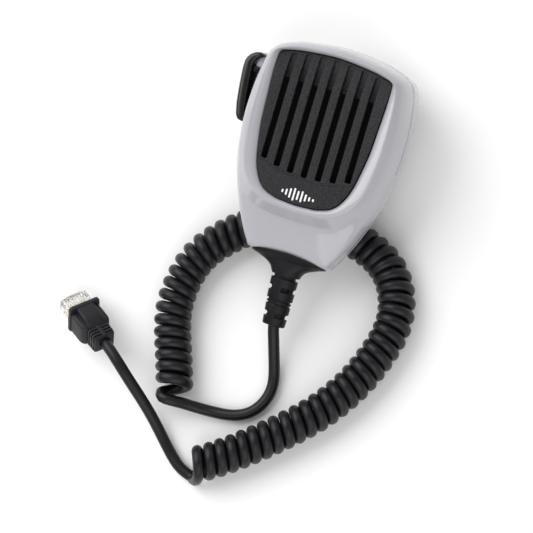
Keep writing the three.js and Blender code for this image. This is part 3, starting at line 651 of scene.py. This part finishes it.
# housing screws, pan heads with a cross recess
for i, (x, y) in enumerate(SCREWS):
    s = seats[i]
    body = lathe(f"housing_screw_{i + 1}_v", [(0, s - 2.3), (1.2, s - 2.28), (1.8, s - 2.1), (2.15, s - 1.7), (2.2, s - 1.3), (2.2, s - 0.3), (1.05, s - 0.3), (1.05, 7.0), (0.6, 7.6), (0, 7.6)], x, y, 32, MIC)
    boolean(body, [box("c", x - 1.25, x + 1.25, y - 0.28, y + 0.28, s - 3, s - 1.3, MIC), box("c", x - 0.28, x + 0.28, y - 1.25, y + 1.25, s - 3, s - 1.3, MIC)])
    put(body, STEEL, nodes=(f"housing_screw_{i + 1}",))

# hang-up button
head = lathe("hang_button_head_v", [(0, 1.4), (1.8, 1.4), (1.8, 0.35), (2.1, 0.05), (8.7, 0.0), (9.2, 0.18), (9.5, 0.6), (9.5, 2.9), (9.35, 3.35), (8.9, 3.6), (1.8, 3.6), (1.8, 3.2), (1.0, 3.2), (0, 3.2)], seg=64)
put(head, STEEL, nodes=("hang_button_head",))
spacer = lathe("hang_button_spacer_v", [(1.8, 3.9), (4.3, 3.9), (4.5, 4.1), (4.5, 9.5), (4.3, 9.7), (1.8, 9.7), (1.8, 3.9)], seg=48)
put(spacer, STEEL, nodes=("hang_button_spacer",))
bs = lathe("hang_button_screw_v", [(0, 3.7), (1.45, 3.7), (1.45, 12.35), (3.6, 12.35), (3.6, 13.9), (2.8, 14.6), (0, 14.6)], seg=32)
put(bs, STEEL, nodes=("hang_button_screw",))

# ---------------------------------------------------------------- grille
edge = inset(ring_of(6, 8), 0.35)[:, :2]
holes = []
for i in range(-3, 4):
    x = i * 5.9
    top = 37.45 - 0.0058 * x * x - (0.3 if abs(i) == 3 else 0)
    bot = -10.3 + 0.0095 * x * x
    w = 1.25
    slope = -0.0116 * x
    holes.append(rounded_polygon([(x - w, bot), (x + w, bot), (x + w, top + slope * w), (x - w, top - slope * w)], [0.7, 0.7, 1.1, 1.1], 5))
grille = plate("grille_v", [tuple(p) for p in edge], 12.9, 15.6, 0.22, holes)
bm = bmesh.new()
bm.from_mesh(grille.data)
for y in (-12, 20, 24, 25.5, 26.2, 26.8, 27.4, 28, 29, 31, 33, 35, 37):
    g = list(bm.verts) + list(bm.edges) + list(bm.faces)
    bmesh.ops.bisect_plane(bm, geom=g, plane_co=(0, y * MM, 0), plane_no=(0, 1, 0))
for v in bm.verts:
    y = v.co.y / MM
    if v.co.z > 14.5 * MM:
        k = max(0.0, y - 25.6)
        drop = 0.17 * k if k > 1.6 else 0.17 * k * k / 3.2
        v.co.z -= (drop - (0.136 if k > 1.6 else 0)) * MM * 0.9
bm.to_mesh(grille.data)
bm.free()
parts = [grille]
# floors of the slots: dark troughs that ramp up toward the top
for i in range(-3, 4):
    x = i * 5.9
    top = 37.45 - 0.0058 * x * x - (0.3 if abs(i) == 3 else 0)
    bot = -10.3 + 0.0095 * x * x
    prof2 = [(25.5, 12.64), (27.5, 12.85), (30, 13.1), (33, 13.3), (top + 0.25, 13.4), (top + 0.25, 12.62), (25.5, 12.62)]
    v = [(sx, y, z) for sx in (x - 1.27, x + 1.27) for y, z in prof2]
    n = len(prof2)
    f = [tuple(range(n)), tuple(reversed(range(n, 2 * n)))] + [(j, j + n, (j + 1) % n + n, (j + 1) % n) for j in range(n)]
    parts.append(new_object("floor_part", v, f, None, 30))
# ridge just below the slots
xs = np.linspace(-20.4, 20.4, 60)
ridge = []
for x in xs:
    y = -11.2 + 0.0095 * x * x
    ridge.append([(x, y + 0.42 * math.cos(a), 15.45 + 0.36 * math.sin(a)) for a in np.linspace(0, 2 * math.pi, 12, endpoint=False)])
parts.append(loft("ridge_part", ridge, sharp=60))
grille = merged("grille_body", parts, 40)
grille.data.transform(MIC)
put(grille, GRILLE, nodes=("grille",))

# printed sound-level bars on the lower panel
bars = []
for k, h in enumerate((1.3, 2.4, 3.8, 5.0, 3.6, 4.4, 2.8, 1.7, 1.1)):
    x = (k - 4) * 1.62
    yc = -17.6 - 0.02 * x
    o = rounded_polygon([(x - 0.36, yc - h / 2), (x + 0.36, yc - h / 2), (x + 0.36, yc + h / 2), (x - 0.36, yc + h / 2)], 0.36, 4)
    bars.append(plate("bar", o, 15.58, 15.66, 0.02, (), None, 1))
mark = merged("grille_mark", bars)
mark.data.transform(MIC)
put(mark, PRINT)

# ---------------------------------------------------------------- lever
bar = [(-33.0, 3.2), (-35.1, 3.6), (-36.3, 5.3), (-37.4, 10), (-38.3, 17), (-38.9, 24), (-38.8, 27.2), (-37.6, 29.6), (-35.4, 31.2), (-33.2, 31.7), (-31.6, 31.1), (-31.5, 30.2), (-33.2, 29.4), (-34.4, 27.8), (-34.9, 26.0), (-34.6, 22), (-33.8, 14), (-32.7, 7.5), (-31.8, 4.9), (-31.8, 3.7)]
bar_ob = plate("bar_part", rounded_polygon(bar, 0.9, 4), -3.6, 6.8, 1.35, (), MIC, 6)
web = [(-35.6, 5.0), (-36.4, 12), (-37.2, 20), (-37.3, 26.5), (-34.6, 27.2), (-33.0, 27.0), (-32.4, 26.0), (-30.2, 25.5), (-29.7, 24.6), (-29.6, 23.2), (-27.5, 23.2), (-27.4, 20.8), (-29.6, 20.8), (-29.8, 10.0), (-28.9, 8.6), (-27.2, 8.5), (-25.4, 7.8), (-24.8, 6.2), (-25.3, 4.5), (-26.8, 3.6), (-29.0, 3.5), (-32.5, 3.5), (-34.4, 3.7)]
pin = [(-27.2 + 1.3 * math.cos(2 * math.pi * k / 24), 6 + 1.3 * math.sin(2 * math.pi * k / 24)) for k in range(24)]
web_ob = plate("web_part", rounded_polygon(web, 0.5, 3), -3.0, 2.2, 0.45, (pin,), MIC, 3)
flange = [(-34.3, 25.7), (-34.6, 26.6), (-34.2, 28.2), (-33.2, 29.6), (-31.8, 30.3), (-31.2, 29.4), (-31.0, 27.6), (-31.2, 26.2), (-32.0, 25.7)]
rib = [(-35.5, 25.6), (-31.0, 25.6), (-30.6, 24.6), (-30.6, 23.4), (-35.5, 23.4)]
rib_ob = plate("rib_part", rounded_polygon(rib, 0.4, 3), 1.0, 4.6, 0.35, (), MIC, 3)
# the hooked flange is the same black plastic as the lever; its light grey material is a painted highlight
highlight_flange_ob = plate("ptt_lever_flange_highlight", rounded_polygon(flange, 0.7, 4), 2.35, 3.6, 0.3, (), MIC, 3)
put(highlight_flange_ob, FLANGE_HIGHLIGHT, "ptt_lever")
boolean(bar_ob, [web_ob, rib_ob], "UNION", 40)
bar_ob.name = "ptt_lever_body"
put(bar_ob, GLOSS, "ptt_lever", ("ptt_lever",))

# ---------------------------------------------------------------- boot
S = [
    [-36.3, 0.9, 6.6, 2.9, 4], [-38.6, 0.9, 6.6, 2.9, 4], [-38.7, 0.5, 4.8, 2.4, 4], [-42.26, 0.5, 4.8, 2.4, 4],
    [-42.3, 0.2, 14.9, 6.0, 3.6], [-42.34, 0.2, 15.35, 6.45, 3.6], [-42.8, 0.1, 15.3, 6.45, 3.5], [-43.3, -0.2, 14.3, 6.1, 3.2], [-43.9, -0.55, 13.0, 5.7, 2.9],
    [-44.6, -1.0, 11.8, 5.1, 2.8], [-45.4, -1.12, 10.2, 5.2, 2.65], [-46.2, -1.25, 8.8, 5.3, 2.5], [-47.0, -1.37, 7.75, 5.4, 2.35], [-47.8, -1.5, 7.0, 5.48, 2.2],
    [-49.0, -1.75, 6.3, 5.52, 2.1], [-49.9, -2.0, 5.95, 5.5, 2], [-50.2, -2.02, 5.85, 5.45, 2], [-50.4, -2.05, 5.6, 5.4, 2], [-50.46, -2.05, 4.45, 4.3, 2], [-51.75, -2.2, 4.45, 4.3, 2],
    [-51.82, -2.25, 5.35, 5.25, 2], [-52.0, -2.28, 5.5, 5.4, 2], [-56, -2.9, 5.42, 5.32, 2], [-60.2, -3.6, 5.28, 5.22, 2], [-60.4, -3.63, 5.1, 5.05, 2], [-60.48, -3.65, 4.5, 4.5, 2],
    [-61.15, -3.75, 4.5, 4.5, 2], [-61.2, -3.75, 4.95, 4.95, 2], [-61.95, -3.88, 4.95, 4.95, 2], [-62.0, -3.9, 4.45, 4.45, 2],
    [-62.65, -3.96, 4.45, 4.45, 2], [-62.7, -3.98, 4.95, 4.9, 2], [-62.95, -4.05, 5.05, 5.0, 2], [-66.5, -4.65, 4.87, 4.85, 2], [-70.6, -5.38, 4.66, 4.66, 2], [-71.0, -5.45, 4.5, 4.5, 2],
    [-71.2, -5.5, 4.2, 4.2, 2], [-71.2, -5.5, 2.6, 2.6, 2], [-70.2, -5.35, 2.5, 2.5, 2],
]
rings = []
for y, zc, hw, hh, p in S:
    r = []
    for i in range(72):
        a = 2 * math.pi * i / 72
        c, s = math.cos(a), math.sin(a)
        x = hw * math.copysign(abs(c) ** (2 / p), c)
        z = zc + hh * math.copysign(abs(s) ** (2 / p), s)
        lean = 0.0 if y < -44.5 or y > -42.3 else min(1.0, (y + 44.5) / 1.6)
        r.append((x, y - 1.35 * (x / 15.5) ** 2 + 0.95 * lean * smooth((z - 1.5) / 5.0), z))
    rings.append(r)
boot = loft("cord_boot_v", rings, matrix=MIC, sharp=38)


def boot_slot(y, zc, a, r_in, r_out, half):
    """a rounded slot through the boot's skin, centred on angle a and half wide along the circumference."""
    c, s = math.cos(a), math.sin(a)
    pts = rounded_polygon([(-half, -1.05), (half, -1.05), (half, 1.05), (-half, 1.05)], 0.85, 4)
    rr = []
    for rad in (r_in, r_out):
        rr.append([(c * rad - s * u, y + v, zc + s * rad + c * u) for u, v in pts])
    return loft("slot", rr, matrix=MIC)


tools = []
for y, zc in ((-56.2, -2.95), (-66.9, -4.72)):
    for a, half in ((62, 1.85), (-16, 3.2), (164, 3.3), (242, 1.85)):
        tools.append(boot_slot(y, zc, math.radians(a), 3.3, 8, half))
boolean(boot, tools, sharp=38)
put(boot, BOOT, nodes=("cord_boot",))

# ---------------------------------------------------------------- plug
def rbox(x0, x1, y0, y1, z0, z1, r, seg=4):
    return box("hp", x0, x1, y0, y1, z0, z1, PLUG, r, seg)


def section(y, x1, z0, z1, r):
    out = []
    for cx, cz, k in ((x1 - r, z1 - r, 0), (-x1 + r, z1 - r, 1), (-x1 + r, z0 + r, 2), (x1 - r, z0 + r, 3)):
        for s in range(7):
            a = math.pi / 2 * (k + s / 6)
            out.append((cx + r * math.cos(a), y, cz + r * math.sin(a)))
    return out


flange = loft("hood_flange", [section(-0.0, 6.65, -5.25, 7.25, 1.1), section(-0.25, 6.9, -5.5, 7.5, 1.3), section(-1.55, 6.9, -5.5, 7.5, 1.3), section(-1.8, 6.7, -5.3, 7.3, 1.15)], matrix=PLUG)
body = loft("hood_body", [section(-1.2, 6.5, -5.1, 5.0, 1.3), section(-8.6, 6.5, -5.1, 5.0, 1.3), section(-9.8, 6.4, -5.0, 4.9, 1.5), section(-10.8, 6.0, -4.8, 4.5, 1.7), section(-11.5, 5.0, -4.3, 3.9, 1.6)], matrix=PLUG)
block = loft("hood_block", [section(-1.2, 4.0, 2.0, 7.2, 0.9), section(-3.0, 4.0, 2.0, 7.15, 0.9), section(-6.5, 4.0, 2.0, 6.9, 1.0), section(-9.0, 3.95, 2.0, 6.1, 1.3), section(-10.6, 3.9, 1.5, 4.9, 1.4), section(-11.2, 3.7, 1.5, 4.2, 1.2)], matrix=PLUG)
grip = [section(-10.2, 4.2, -3.7, 3.7, 0.8)]
for k in range(4):
    y = -11.9 - k * 1.55
    grip += [section(y, 4.2, -3.7, 3.7, 0.8), section(y - 0.05, 4.75 - 0.06 * k, -4.3, 4.3, 0.8), section(y - 0.85, 4.7 - 0.06 * k, -4.25, 4.25, 0.8), section(y - 0.9, 4.2, -3.7, 3.7, 0.8)]
grip[-2:] = [section(-17.1, 4.45, -4.05, 4.05, 0.9), section(-17.4, 4.2, -3.8, 3.8, 0.9)]
grip = loft("hood_grip", grip, matrix=PLUG)
spine = [rbox(-0.8, 0.8, -17.0, -10.5, -4.2, 4.2, 0.25), rbox(-4.6, 4.6, -17.0, -10.5, -0.75, 0.75, 0.25)]
boolean(flange, [body, block, grip, *spine], "UNION", 38)
boolean(flange, [box("c", -6.0, 6.0, -8.3, 1, -4.3, 4.3, PLUG), box("c", -3.6, 3.6, -7.0, 1, 4.0, 6.4, PLUG), cylinder("c", (0, -18, 0), (0, -15.6, 0), 2.45, 32, PLUG)], sharp=38)
flange.name = "plug_hood_body"
hood = put(flange, HOOD, nodes=("plug_hood",))

pb = box("plug_body_v", -5.84, 5.84, -8.0, 8.0, -4.0, 4.0, PLUG, 0.3, 3)
boolean(pb, [box("c", -4.6, 4.6, 2.4, 9.0, -5, -1.4, PLUG)] + [box("c", (k - 3.5) * 1.02 - 0.3, (k - 3.5) * 1.02 + 0.3, 2.4, 9.0, -1.5, 0.6, PLUG) for k in range(8)])
plug_body = put(pb, CLEAR, nodes=("plug_body",))
for k in range(8):
    x = (k - 3.5) * 1.02
    o = rounded_polygon([(2.8, -3.6), (7.2, -3.6), (7.5, -3.3), (7.5, -1.75), (2.8, -1.75)], 0.25, 3)
    c = plate(f"contact_{k + 1}", o, -0.17, 0.17, 0.04, (), PLUG @ Matrix(((0, 0, 1, x * MM), (1, 0, 0, 0), (0, 1, 0, 0), (0, 0, 0, 1))), 1)
    put(c, GOLD, nodes=(f"plug_contact_{k + 1}",))
o = [(7.7, 4.3), (7.7, 5.0), (6.8, 5.5), (2.0, 5.85), (-5.5, 6.35), (-6.0, 6.2), (-6.0, 5.5), (-2.5, 5.2), (5.6, 4.6), (5.8, 4.3)]
latch = plate("plug_latch_v", rounded_polygon(o, 0.25, 3), -3.1, 3.1, 0.12, (), PLUG @ Matrix(((0, 0, 1, 0), (1, 0, 0, 0), (0, 1, 0, 0), (0, 0, 0, 1))), 2)
put(latch, CLEAR, "plug_latch", ("plug_latch",))

# ---------------------------------------------------------------- stage
me = bpy.data.meshes.new("floor")
me.from_pydata([(-3, -3, -0.0002), (3, -3, -0.0002), (3, 3, -0.0002), (-3, 3, -0.0002)], [], [(0, 1, 2, 3)])
floor = bpy.data.objects.new("floor", me)
bpy.context.collection.objects.link(floor)
fm = bpy.data.materials.new("floor")
fm.use_nodes = True
fm.node_tree.nodes["Principled BSDF"].inputs["Base Color"].default_value = (0.93, 0.93, 0.93, 1)
fm.node_tree.nodes["Principled BSDF"].inputs["Roughness"].default_value = 0.7
floor.data.materials.append(fm)

world = bpy.data.worlds.new("world")
bpy.context.scene.world = world
world.use_nodes = True
world.node_tree.nodes["Background"].inputs["Color"].default_value = (1, 1, 1, 1)
wt = world.node_tree
wc = wt.nodes.new("ShaderNodeTexCoord")
wx = wt.nodes.new("ShaderNodeSeparateXYZ")
wr = wt.nodes.new("ShaderNodeMapRange")
wr.inputs["From Min"].default_value = 0.45
wr.inputs["From Max"].default_value = 0.98
wr.inputs["To Min"].default_value = 0.7
wr.inputs["To Max"].default_value = 0.3
wt.links.new(wc.outputs["Generated"], wx.inputs["Vector"])
wt.links.new(wx.outputs["Z"], wr.inputs["Value"])
wt.links.new(wr.outputs["Result"], wt.nodes["Background"].inputs["Strength"])


def area(name, where, to, size, power, size_y=None):
    li = bpy.data.lights.new(name, "AREA")
    li.energy = power
    li.shape = "RECTANGLE"
    li.size = size
    li.size_y = size_y or size
    ob = bpy.data.objects.new(name, li)
    bpy.context.collection.objects.link(ob)
    ob.location = where
    ob.rotation_euler = (Vector(to) - Vector(where)).to_track_quat("-Z", "Y").to_euler()
    return ob


area("key", (-0.95, 0.35, 1.15), (0, -0.05, 0), 1.5, 20.5)
area("fill", (0.55, -1.05, 1.1), (0, -0.05, 0), 1.7, 12.0)
area("top", (0.15, 1.1, 0.95), (0, -0.05, 0), 0.6, 0.5, 0.25)
bpy.context.scene.view_settings.view_transform = "Standard"
